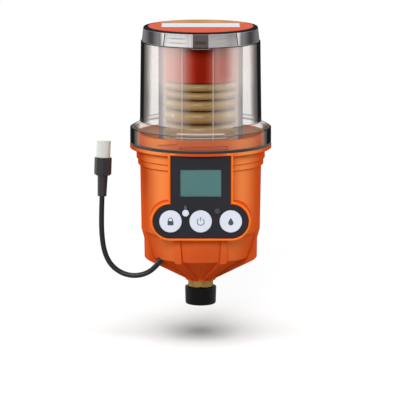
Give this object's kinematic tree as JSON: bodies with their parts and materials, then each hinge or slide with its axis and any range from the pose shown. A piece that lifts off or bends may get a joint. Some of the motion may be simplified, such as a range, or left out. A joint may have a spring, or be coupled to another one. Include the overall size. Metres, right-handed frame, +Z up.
{
  "type": "automatic grease lubricator",
  "caption": "Automatic single-point grease lubricator with a clear screw-on cover over a grease bellows, a control panel with display and buttons, a cable and a threaded outlet.",
  "frame": {"origin": "on the axis at the lower face of the outlet's hexagon, where its thread begins", "axes": "+Z up along the axis from the outlet to the clear cover, -Y towards the control panel, +X to the panel's right"},
  "size_m": [0.1335, 0.1068, 0.2122],
  "materials": {
    "orange_body": "satin",
    "brass": "machined",
    "steel": "ground",
    "black_plastic": "matte",
    "panel_black": "satin",
    "window": "polished",
    "display": "matte",
    "light": "polished",
    "button_grey": "satin",
    "board_green": "satin",
    "deck_orange": "matte",
    "clear_sleeve": "polished",
    "bellows_tan": "soft",
    "cup_red": "satin",
    "seal_black": "matte",
    "clear_cover": "polished",
    "label": "printed",
    "pump_metal": "cast",
    "gear_white": "moulded",
    "motor_can": "drawn",
    "cable_black": "satin",
    "connector_black": "satin",
    "cap_white": "satin"
  },
  "bodies": {
    "housing": {"housing": "orange_body", "outlet_fitting": "brass", "spring_seat": "brass", "check_spring": "steel", "panel_plate": "panel_black", "display_window": "window", "display_module": "display", "status_light": "light", "circuit_board": "board_green", "deck_plate": "deck_orange", "deck_screws": "steel", "guide_sleeve": "clear_sleeve", "bellows": "bellows_tan", "pump_body": "pump_metal", "feed_tube": "black_plastic", "plunger_spring": "steel", "drive_plate": "steel", "motor": "motor_can", "cable": "cable_black", "cable_grommet": "seal_black", "strain_relief": "connector_black", "connector_body": "connector_black"},
    "check_ball": {"check_ball": "steel"},
    "left_button": {"left_button": "button_grey"},
    "centre_button": {"centre_button": "button_grey"},
    "right_button": {"right_button": "button_grey"},
    "reset_button": {"reset_button": "button_grey"},
    "motor_pinion": {"motor_pinion": "brass"},
    "reduction_gear": {"reduction_gear": "gear_white"},
    "cam_gear": {"cam_gear": "gear_white"},
    "plunger": {"plunger": "steel"},
    "cover_seal": {"cover_seal": "seal_black"},
    "top_cover": {"top_cover": "clear_cover", "top_label": "label"},
    "follower_cup": {"follower_cup": "cup_red"},
    "outlet_cap": {"outlet_cap": "black_plastic"},
    "connector_cap": {"connector_cap": "cap_white"}
  },
  "joints": [
    {"name": "motor_spin", "type": "hinge", "parent": "housing", "child": "motor_pinion", "pos_m": [0.0076, 0.02153, 0.0435], "axis": [0, 0, 1], "continuous": true},
    {"name": "reduction_spin", "type": "hinge", "parent": "housing", "child": "reduction_gear", "pos_m": [0.017, 0.01212, 0.0425], "axis": [0, 0, 1], "continuous": true},
    {"name": "cam_spin", "type": "hinge", "parent": "housing", "child": "cam_gear", "pos_m": [0.024, 0, 0.0365], "axis": [0, 0, 1], "continuous": true},
    {"name": "plunger_stroke", "type": "slide", "parent": "housing", "child": "plunger", "axis": [1, 0, 0], "range_m": [0, 0.0022], "deforming": ["plunger_spring"]},
    {"name": "check_ball_lift", "type": "slide", "parent": "housing", "child": "check_ball", "axis": [0, 0, -1], "range_m": [0, 0.0012], "stiffness_N_per_m": 60, "springref_m": -0.002, "deforming": ["check_spring"]},
    {"name": "left_button_press", "type": "slide", "parent": "housing", "child": "left_button", "axis": [0, 1, 0], "range_m": [0, 0.0006], "stiffness_N_per_m": 500, "springref_m": -0.001},
    {"name": "centre_button_press", "type": "slide", "parent": "housing", "child": "centre_button", "axis": [0, 1, 0], "range_m": [0, 0.0006], "stiffness_N_per_m": 500, "springref_m": -0.001},
    {"name": "right_button_press", "type": "slide", "parent": "housing", "child": "right_button", "axis": [0, 1, 0], "range_m": [0, 0.0006], "stiffness_N_per_m": 500, "springref_m": -0.001},
    {"name": "reset_button_press", "type": "slide", "parent": "housing", "child": "reset_button", "axis": [0, 1, 0], "range_m": [0, 0.0006], "stiffness_N_per_m": 500, "springref_m": -0.001},
    {"name": "cover_turn", "type": "hinge", "parent": "housing", "child": "cover_seal", "pos_m": [0, 0, 0.1105], "axis": [0, 0, 1], "range_deg": [0, 810]},
    {"name": "cover_lift", "type": "slide", "parent": "cover_seal", "child": "top_cover", "axis": [0, 0, 1], "range_m": [0, 0.0901]},
    {"name": "follower_drop", "type": "slide", "parent": "housing", "child": "follower_cup", "axis": [0, 0, -1], "range_m": [0, 0.038], "deforming": ["bellows"]},
    {"name": "outlet_cap_pull", "type": "slide", "parent": "housing", "child": "outlet_cap", "axis": [0, 0, -1], "range_m": [0, 0.03]},
    {"name": "connector_cap_pull", "type": "slide", "parent": "housing", "child": "connector_cap", "axis": [0.0339, 0.0813, 0.9961], "range_m": [0, 0.03]}
  ],
  "couplings": [
    {"joint": "reduction_spin", "follows": "motor_spin", "ratio": -0.46154},
    {"joint": "cam_spin", "follows": "motor_spin", "ratio": 0.1978},
    {"joint": "cover_lift", "follows": "cover_turn", "m_per_rad": 0.0063662}
  ]
}
